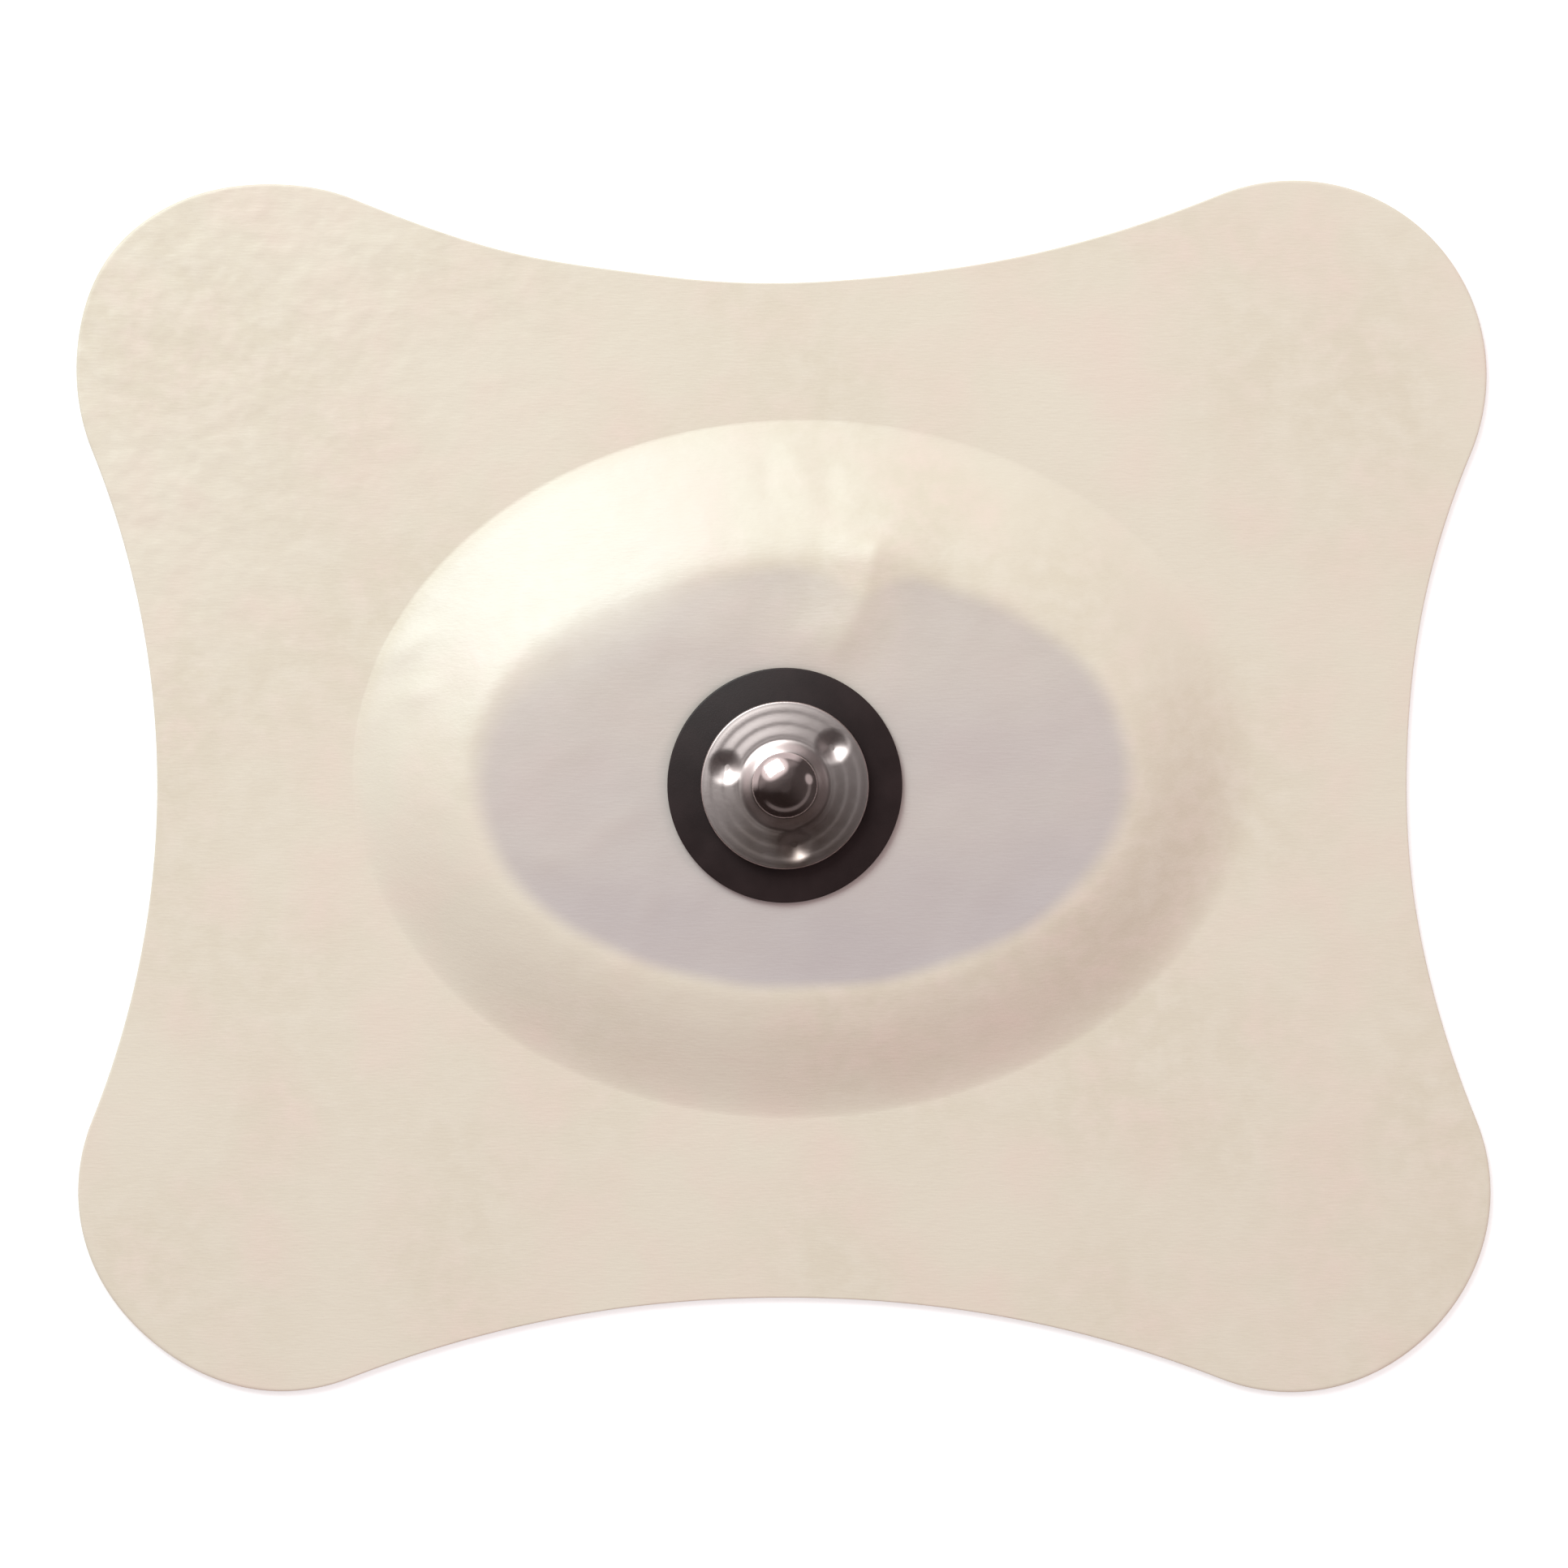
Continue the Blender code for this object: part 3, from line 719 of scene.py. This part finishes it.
class ELECTRODE_OT_backing_sheet(bpy.types.Operator):
    """Make the formed sheet of nonwoven tape with its lobes and its raised oval"""

    bl_idname = "electrode.backing_sheet"
    bl_label = "Backing sheet"

    def execute(self, context):
        sheet = context.scene.electrode_sheet
        outline = pulled_edge(patch_outline(sheet, fine=5))
        bearings = [math.atan2(point.y, point.x) for point in outline]
        foot = dome_oval(sheet, 0.0, bearings)
        film_edge = dome_oval(sheet, 1.0, bearings)
        hole = [Vector((SNAP_HOLE * math.cos(b), SNAP_HOLE * math.sin(b))) for b in bearings]

        dome_height = SHEET_HIGH.z - sheet.thickness

        # Each loop with its place on the slope and its share of the thickness
        loops = []
        for share, full in EDGE_ROWS:
            loops.append((blend_loops(foot, outline, share), 0.0, full))
        for i in range(1, SKIRT_STEPS):
            loops.append((blend_loops(outline, foot, i / SKIRT_STEPS), 0.0, 1.0))
        for share in (0.985, 0.996):
            loops.append((blend_loops(outline, foot, share), 0.0, 1.0))
        for i in range(SLOPE_STEPS + 1):
            loops.append((dome_oval(sheet, i / SLOPE_STEPS, bearings), i / SLOPE_STEPS, 1.0))
        for i in range(1, TOP_STEPS + 1):
            inward = (i / TOP_STEPS) ** 1.25
            loops.append((blend_loops(film_edge, hole, inward), 1 + 2 * inward, 1.0))

        over, under = [], []
        for loop, share, full in loops:
            top, bottom = [], []
            for point, bearing in zip(loop, bearings):
                rise = dome_rise(share, bearing)
                wave = tape_wave(point, rise) + lip_lift(point) * rise
                wave += CREASE_HEIGHT * crease_share(point) * rise + wrinkle_lift(point)
                upper = sheet.thickness * full + max(wave, -0.1 * MM)
                lower = sheet.thickness * (1 - full) * 0.4 + max(wave, 0.0)
                top.append((point.x, point.y, dome_height * rise + upper))
                bottom.append((point.x, point.y, dome_height * rise + lower))
            over.append(top)
            under.append(bottom)
        # The underside, which is smoother, needs only every second loop
        points, faces = skin(over + under[::-2], ring=True)

        tape = spunlaced_tape("spunlaced_polyester_tape", sheet)
        coat = spunlaced_tape("acrylic_adhesive_on_tape", sheet, adhesive=True)
        piece = add_piece(
            "backing_sheet_tape", points, faces, [tape, coat], "nonwoven_tape", "backing_sheet"
        )
        mesh = piece.data
        show = mesh.attributes.new("film_show", "FLOAT", "POINT")
        # Share of the painted highlight on the slope that faces the key light
        painted_sheen = mesh.attributes.new("painted_sheen", "FLOAT", "POINT")
        for vert in mesh.vertices:
            spot = Vector((vert.co.x, vert.co.y))
            show.data[vert.index].value = film_show(spot)
            painted_sheen.data[vert.index].value = painted_sheen_share(sheet, spot)
        for face in mesh.polygons:
            if face.normal.z < -0.5:
                face.material_index = 1
        return {"FINISHED"}


class ELECTRODE_OT_reservoir_pad(bpy.types.Operator):
    """Make the absorbent felt pad that fills the raised oval"""

    bl_idname = "electrode.reservoir_pad"
    bl_label = "Reservoir pad"

    def execute(self, context):
        sheet = context.scene.electrode_sheet
        pad = context.scene.electrode_pad
        dome_height = SHEET_HIGH.z - sheet.thickness
        gap = dome_height - PAD_TOP
        count = 240
        bearings = [math.tau * i / count for i in range(count)]
        edge_share = 0.28
        bend = 0.15 * MM
        base = dome_oval(sheet, edge_share, bearings)
        middle = [DOME_CENTRE] * count
        base_steps, side_steps, seat_steps = 15, 14, 10
        loops = []
        for i in range(1, base_steps):
            loops.append(at_height(blend_loops(middle, base, i / base_steps), 0.0))
        loops.append(at_height(blend_loops(middle, base, 0.985), 0.0))
        loops.append(at_height(base, bend))
        for i in range(1, side_steps + 1):
            share = edge_share + (1 - edge_share) * i / side_steps
            loop = []
            for point, bearing in zip(dome_oval(sheet, share, bearings), bearings):
                loop.append((point.x, point.y, dome_height * dome_rise(share, bearing) - gap))
            loops.append(loop)
        film_seat = oval(FILM_HALF.x + gap, FILM_HALF.y + gap, FILM_CENTRE, bearings)
        flange_radius = (EYELET_HIGH.x - EYELET_LOW.x) / 2 + SEAT_GAP
        flange_seat = [flange_radius * Vector((math.cos(b), math.sin(b))) for b in bearings]
        film_under, flange_under = FILM_LOW.z - gap, EYELET_LOW.z - gap
        loops.append(at_height(blend_loops(film_seat, flange_seat, -0.01), PAD_TOP))
        for i in range(seat_steps + 1):
            loops.append(at_height(blend_loops(film_seat, flange_seat, i / seat_steps), film_under))
        loops.append(at_height(flange_seat, flange_under))
        centres = ((DOME_CENTRE.x, DOME_CENTRE.y, 0.0), (0.0, 0.0, flange_under))
        points, faces = skin(loops, centres=centres)
        felt = needled_felt("needled_viscose_felt", pad)
        piece = add_piece("reservoir_pad_felt", points, faces, [felt], "absorbent_felt", "reservoir_pad")
        return {"FINISHED"}


class ELECTRODE_OT_conductive_film(bpy.types.Operator):
    """Give the conductive film its silver coating"""

    bl_idname = "electrode.conductive_film"
    bl_label = "Conductive film"

    def execute(self, context):
        pad = context.scene.electrode_pad
        film = frame["nodes"]["conductive_film"]
        film.data.materials.clear()
        film.data.materials.append(silvered_film("silver_coated_polyester_film", pad.coat))
        return {"FINISHED"}


class ELECTRODE_OT_snap_washer(bpy.types.Operator):
    """Make the black plastic washer under the stud"""

    bl_idname = "electrode.snap_washer"
    bl_label = "Snap washer"

    def execute(self, context):
        snap = context.scene.electrode_snap
        over_tape, under_stud, rim_thickness, cone = 0.02 * MM, 0.04 * MM, 0.38 * MM, 0.2 * MM
        low, hub = SHEET_HIGH.z + over_tape, STUD_LOW.z - under_stud
        rim = low + rim_thickness
        hub_radius = FLANGE_RADIUS - 0.35 * MM
        bend = 0.1 * MM
        profile = [(SNAP_HOLE, low)]
        profile += arc((WASHER_RADIUS - bend, low + bend), bend, bend, -90, 0, 6)
        profile += arc((WASHER_RADIUS - bend, rim - bend), bend, bend, 0, 84, 6)
        profile += arc((hub_radius + bend, rim + cone + bend), bend, bend, 270, 180, 5)
        profile += arc((hub_radius - bend, hub - bend), bend, bend, 0, 90, 5)
        profile.append((SNAP_HOLE, hub))
        steps = 240
        turns = [math.tau * i / steps for i in range(steps)]
        loops = [[(r * math.cos(turn), r * math.sin(turn), z) for turn in turns] for r, z in profile]
        points, faces = skin(loops, ring=True)
        plastic = moulded_plastic("moulded_black_polyamide", snap.black)
        add_piece("snap_washer_disc", points, faces, [plastic], "black_plastic", "snap_washer")
        return {"FINISHED"}


def head_crown(radius, top):
    """Section of the head's top: ever steeper to a small turned edge, then upright."""
    edge, steepest = 0.05 * MM, math.radians(42)
    steps, edge_steps = 36, 4
    reach = radius - edge * (1 - math.sin(steepest))
    points = [(0.0, top)]
    for i in range(1, steps + 1):
        tilt = steepest * ((i - 0.5) / steps) ** 1.3
        points.append((reach * i / steps, points[-1][1] - reach / steps * math.tan(tilt)))
    start = points[-1][1]
    for i in range(1, edge_steps + 1):
        tilt = steepest + (math.pi / 2 - steepest) * i / edge_steps
        drop = edge * (math.cos(steepest) - math.cos(tilt))
        points.append((radius - edge * (1 - math.sin(tilt)), start - drop))
    return points


def ring_swell(place):
    """Height of a pressed ring from 0 to 1 across its width: a short inner side, a long outer one."""
    crest = 0.36
    return smooth(place / crest) if place < crest else smooth((1 - place) / (1 - crest))


def stud_profile(snap):
    """Section of the stud, from the top of its head over the outside and back inside."""
    base, top = STUD_LOW.z, STUD_HIGH.z
    head = snap.head_diameter / 2
    neck = head - snap.undercut
    boss = snap.boss_diameter / 2
    metal = snap.metal
    outside = head_crown(head, top)
    widest = outside[-1][1]
    fillet = 0.15 * MM
    rim_top = base + 2 * metal
    land = rim_top + snap.flange_rise
    boss_top = land + snap.boss_height
    cheek, throat, neck_steps = 0.15 * MM, 0.5 * MM, 8
    for i in range(1, neck_steps + 1):
        share = i / neck_steps
        inward = snap.undercut * (1 - math.cos(math.pi * share)) / 2
        outside.append((head - inward, widest - cheek - throat * share))
    outside += arc((neck + fillet, boss_top + fillet), fillet, fillet, 180, 262, 6)
    start, boss_steps = neck + fillet, 24
    for i in range(1, boss_steps + 1):
        share = i / boss_steps
        drop = 0.25 * math.sin(math.pi / 2 * share) + 0.75 * smooth(1.15 * share - 0.08)
        outside.append((start + (boss - start) * share, boss_top + (land - boss_top) * drop))
    rim_start, flange_steps = FLANGE_RADIUS - metal / 2, 60
    pitch = (FLANGE_RADIUS - boss) / 3
    for i in range(1, flange_steps + 1):
        share = i / flange_steps
        out = (rim_start - boss) * share
        swell = snap.ring_height * ring_swell((out / pitch) % 1.0) * smooth((1 - share) * 8)
        outside.append((boss + out, land + (rim_top - land) * share + swell))
    outside += arc((rim_start, base + metal), metal / 2, metal, 76, -90, 12)
    hem = FLANGE_RADIUS - snap.hem
    foot, climb_steps = boss - 0.1 * MM, 6
    inside = [(hem, base), (hem, base + metal), (boss, land - metal), (foot, land - metal)]
    for i in range(1, climb_steps + 1):
        share = i / climb_steps
        climb = (boss_top - land + 0.08 * MM) * (1 - math.cos(math.pi * share)) / 2
        inside.append((foot + (neck - metal - foot) * share, land - metal + climb))
    inside.append((neck - metal, widest - throat))
    inside += arc((0.0, widest - metal), head - metal, top - widest, 0, 90, 8)
    return outside + inside


# Bearings of the three dents in degrees
DENT_BEARINGS = (39, 163, 279)


class ELECTRODE_OT_snap_stud(bpy.types.Operator):
    """Make the stamped stud with its head, boss, stepped flange and dents"""

    bl_idname = "electrode.snap_stud"
    bl_label = "Snap stud"

    def execute(self, context):
        snap = context.scene.electrode_snap
        points, faces = turned(stud_profile(snap), 216)
        flat_inner, flat_outer = snap.boss_diameter / 2, FLANGE_RADIUS - 0.5 * MM
        ring = (flat_inner + flat_outer) / 2
        turns = [math.radians(bearing) for bearing in DENT_BEARINGS]
        dents = [(ring * math.cos(turn), ring * math.sin(turn)) for turn in turns]
        pressed = []
        for x, y, z in points:
            push = 0.0
            for dent_x, dent_y in dents:
                away = math.hypot(x - dent_x, y - dent_y) / snap.dent_radius
                if away < 1:
                    push = snap.dent_depth * math.cos(math.pi / 2 * away) ** 2
            # No dent goes below the foot of the stud
            pressed.append((x, y, max(z - push, min(z, STUD_LOW.z))))
        nickel = plated_brass("bright_nickel_on_brass", snap.nickel, snap)
        add_piece("snap_stud_stamping", pressed, faces, [nickel], "nickel_plated_brass", "snap_stud")
        return {"FINISHED"}


class ELECTRODE_OT_snap_eyelet(bpy.types.Operator):
    """Give the eyelet its silver plate"""

    bl_idname = "electrode.snap_eyelet"
    bl_label = "Snap eyelet"

    def execute(self, context):
        snap = context.scene.electrode_snap
        eyelet = frame["nodes"]["snap_eyelet"]
        eyelet.data.materials.clear()
        silver = plated_brass("silver_on_drawn_brass", snap.silver, snap, wear_and_shade=0.1)
        eyelet.data.materials.append(silver)
        return {"FINISHED"}


# Distance of the lamps from the patch, radius of the net behind them, half the size of the table, and
# how far the patch stands off it
LAMP_DISTANCE = 0.45
NET_RADIUS = 0.5
TABLE_HALF = 1.5
TABLE_GAP = 0.05 * MM


def add_light(name, way, size, power, colour):
    """Add a square lamp in a direction from the patch, turned towards it."""
    light = bpy.data.lights.new(name, "AREA")
    light.size = size
    light.energy = power
    light.color = colour
    lamp = bpy.data.objects.new(name, light)
    lamp.location = way * LAMP_DISTANCE
    lamp.rotation_euler = (-way).to_track_quat("-Z", "Y").to_euler()
    bpy.context.scene.collection.objects.link(lamp)
    return lamp


def background_rays(tree):
    """1 for the rays that show the background: from the camera, off metal and through glass."""
    seen = 0.0
    for kind in ("Is Camera Ray", "Is Glossy Ray", "Is Transmission Ray"):
        path = node(tree, "LightPath", output=kind)
        seen = node(tree, "Math", {0: seen, 1: path}, operation="MAXIMUM")
    return seen


def white_table(name, colour):
    """Matt white laminate: lifted to white for the camera, with the shadow still in it."""
    material, tree, surface = new_material(name)
    lift = node(tree, "Math", {0: background_rays(tree), 1: 0.45}, operation="MULTIPLY")
    shader = node(
        tree,
        "BsdfPrincipled",
        {
            "Base Color": opaque(colour),
            "Roughness": 0.9,
            "Specular IOR Level": 0.1,
            "Emission Color": (1, 1, 1, 1),
            "Emission Strength": lift,
        },
    )
    tree.links.new(shader, surface)
    return material


def black_net(name, scrim, window_way, lamp_way):
    """Black scrim net round the table, open where the window stands and denser overhead.

    The metal mirrors it, so the stud is bright towards the window and dark elsewhere.
    """
    material, tree, surface = new_material(name)
    where = node(tree, "TexCoord", output="Object")
    heading = node(tree, "VectorMath", {0: where}, operation="NORMALIZE")
    up = node(tree, "SeparateXYZ", {0: heading}, output="Z")
    sill_way = Vector((window_way.x, window_way.y, 0.0)).normalized()
    # Openings: the way that each faces, how near that way it starts and is full, how far the net is
    # open before and there, and the heights at which it starts and is full from below and above
    openings = (
        ("window", window_way, 0.82, 0.91, 0.0, 1.0, ()),
        ("window's halo", window_way, 0.5, 0.85, 0.0, 0.12, ()),
        ("sill", sill_way, 0.3, 0.65, 0.0, 0.7, ((0.5, 0.38),)),
        ("window's sides", sill_way, 0.2, 0.55, 0.0, 0.26, ((0.42, 0.52), (0.86, 0.76))),
        ("side lamp", lamp_way, 0.975, 0.99, 0.0, 0.5, ()),
        ("far wall", Vector((-0.53, 0.85, 0.0)), 0.0, -0.4, 0.0, 0.18, ((0.4, 0.48), (0.64, 0.56))),
        ("thin cloth", Vector((0.8, 0.6, 0.0)), -0.3, 0.5, 0.005, 0.05, ()),
        ("top", Vector((0.0, 0.0, 1.0)), 0.965, 0.99, 0.0, 0.06, ()),
    )
    open_share = 0.0
    for label, way, start, full, least, most, heights in openings:
        facing = node(tree, "VectorMath", {0: heading, 1: way}, operation="DOT_PRODUCT", output="Value")
        part = node(
            tree,
            "MapRange",
            {"Value": facing, "From Min": start, "From Max": full, "To Min": least, "To Max": most},
            interpolation_type="SMOOTHSTEP",
            label=label,
        )
        for low, high in heights:
            fade = node(
                tree,
                "MapRange",
                {"Value": up, "From Min": low, "From Max": high},
                interpolation_type="SMOOTHSTEP",
            )
            part = node(tree, "Math", {0: part, 1: fade}, operation="MULTIPLY")
        open_share = node(tree, "Math", {0: open_share, 1: part}, operation="MAXIMUM")
    cloth = node(tree, "BsdfDiffuse", {"Color": opaque(scrim)})
    open_net = node(tree, "BsdfTransparent", {"Color": (1, 1, 1, 1)})
    shader = node(tree, "MixShader", {0: open_share, 1: cloth, 2: open_net})
    tree.links.new(shader, surface)
    return material


class ELECTRODE_OT_stage(bpy.types.Operator):
    """Set up the table, the camera, the lights and the net that darkens the metal's reflections"""

    bl_idname = "electrode.stage"
    bl_label = "Stage"

    def execute(self, context):
        scene = context.scene
        stage = scene.electrode_stage
        aim = Vector((-0.05 * MM, 0.08 * MM, 0.0))

        table = bpy.data.meshes.new("table")
        corners = [(x * TABLE_HALF, y * TABLE_HALF, 0) for x, y in ((-1, -1), (1, -1), (1, 1), (-1, 1))]
        table.from_pydata(corners, [], [(0, 1, 2, 3)])
        table.materials.append(white_table("matt_white_laminate", stage.table))
        table_top = bpy.data.objects.new("table_top", table)
        table_top.location.z = -TABLE_GAP
        scene.collection.objects.link(table_top)

        lens = bpy.data.cameras.new("camera")
        lens.sensor_width = 36.0
        lens.lens = lens.sensor_width * stage.camera_height / stage.frame_width
        lens.clip_start = 0.01
        camera = bpy.data.objects.new("camera", lens)
        camera.location = aim + Vector((0, 0, stage.camera_height))
        scene.collection.objects.link(camera)
        scene.camera = camera

        azimuth, elevation = math.radians(122), math.radians(42)
        level = math.cos(elevation)
        window_way = Vector((math.cos(azimuth) * level, math.sin(azimuth) * level, math.sin(elevation)))
        add_light("window_light", window_way, 0.27, stage.key_power, stage.window_tint)
        lamp_way = Vector((0.83, 0.21, 0.52)).normalized()
        side_lamp = add_light("side_lamp", lamp_way, 0.12, stage.lamp_power, stage.lamp_tint)
        side_lamp.visible_glossy = False

        half_ball = bmesh.new()
        bmesh.ops.create_uvsphere(half_ball, u_segments=48, v_segments=24, radius=NET_RADIUS)
        below = [face for face in half_ball.faces if face.calc_center_median().z < 0.0]
        bmesh.ops.delete(half_ball, geom=below, context="FACES")
        net = bpy.data.meshes.new("black_net")
        half_ball.to_mesh(net)
        half_ball.free()
        net.materials.append(black_net("black_scrim_net", stage.scrim, window_way, lamp_way))
        net_dome = bpy.data.objects.new("black_net", net)
        net_dome.visible_camera = False
        net_dome.visible_diffuse = False
        net_dome.visible_shadow = False
        net_dome.visible_transmission = False
        scene.collection.objects.link(net_dome)

        world = bpy.data.worlds.new("studio")
        world.use_nodes = True
        tree = world.node_tree
        tree.nodes.clear()
        tint = opaque(stage.fill_tint)
        soft = node(tree, "Background", {"Color": tint, "Strength": stage.fill})
        white = node(tree, "Background", {"Color": (1, 1, 1, 1), "Strength": 1.0})
        mixed = node(tree, "MixShader", {0: background_rays(tree), 1: soft, 2: white})
        tree.links.new(mixed, tree.nodes.new("ShaderNodeOutputWorld").inputs["Surface"])
        scene.world = world
        scene.view_settings.view_transform = "Standard"
        return {"FINISHED"}


class ELECTRODE_PT_panel(bpy.types.Panel):
    """Sidebar panel with the electrode's settings and builders"""

    bl_idname = "ELECTRODE_PT_panel"
    bl_label = "Iontophoresis electrode"
    bl_space_type = "VIEW_3D"
    bl_region_type = "UI"
    bl_category = "Electrode"

    def draw(self, context):
        for name, settings in SETTINGS.items():
            box = self.layout.box()
            box.label(text=settings.__doc__)
            group = getattr(context.scene, name)
            for field in settings.__annotations__:
                box.prop(group, field)
        for operator in OPERATORS:
            self.layout.operator(operator.bl_idname)


SETTINGS = {
    "electrode_sheet": SheetSettings,
    "electrode_pad": PadSettings,
    "electrode_snap": SnapSettings,
    "electrode_stage": StageSettings,
}
OPERATORS = (
    ELECTRODE_OT_stage,
    ELECTRODE_OT_backing_sheet,
    ELECTRODE_OT_reservoir_pad,
    ELECTRODE_OT_conductive_film,
    ELECTRODE_OT_snap_washer,
    ELECTRODE_OT_snap_stud,
    ELECTRODE_OT_snap_eyelet,
)


def register():
    """Register the settings, operators and panel."""
    for name, settings in SETTINGS.items():
        bpy.utils.register_class(settings)
        setattr(bpy.types.Scene, name, PointerProperty(type=settings))
    for operator in OPERATORS:
        bpy.utils.register_class(operator)
    bpy.utils.register_class(ELECTRODE_PT_panel)


def unregister():
    """Take back what register added."""
    bpy.utils.unregister_class(ELECTRODE_PT_panel)
    for operator in reversed(OPERATORS):
        bpy.utils.unregister_class(operator)
    for name, settings in SETTINGS.items():
        delattr(bpy.types.Scene, name)
        bpy.utils.unregister_class(settings)


def main():
    register()
    bpy.ops.electrode.stage()
    bpy.ops.electrode.backing_sheet()
    bpy.ops.electrode.reservoir_pad()
    bpy.ops.electrode.conductive_film()
    bpy.ops.electrode.snap_washer()
    bpy.ops.electrode.snap_stud()
    bpy.ops.electrode.snap_eyelet()


if __name__ == "__main__":
    main()
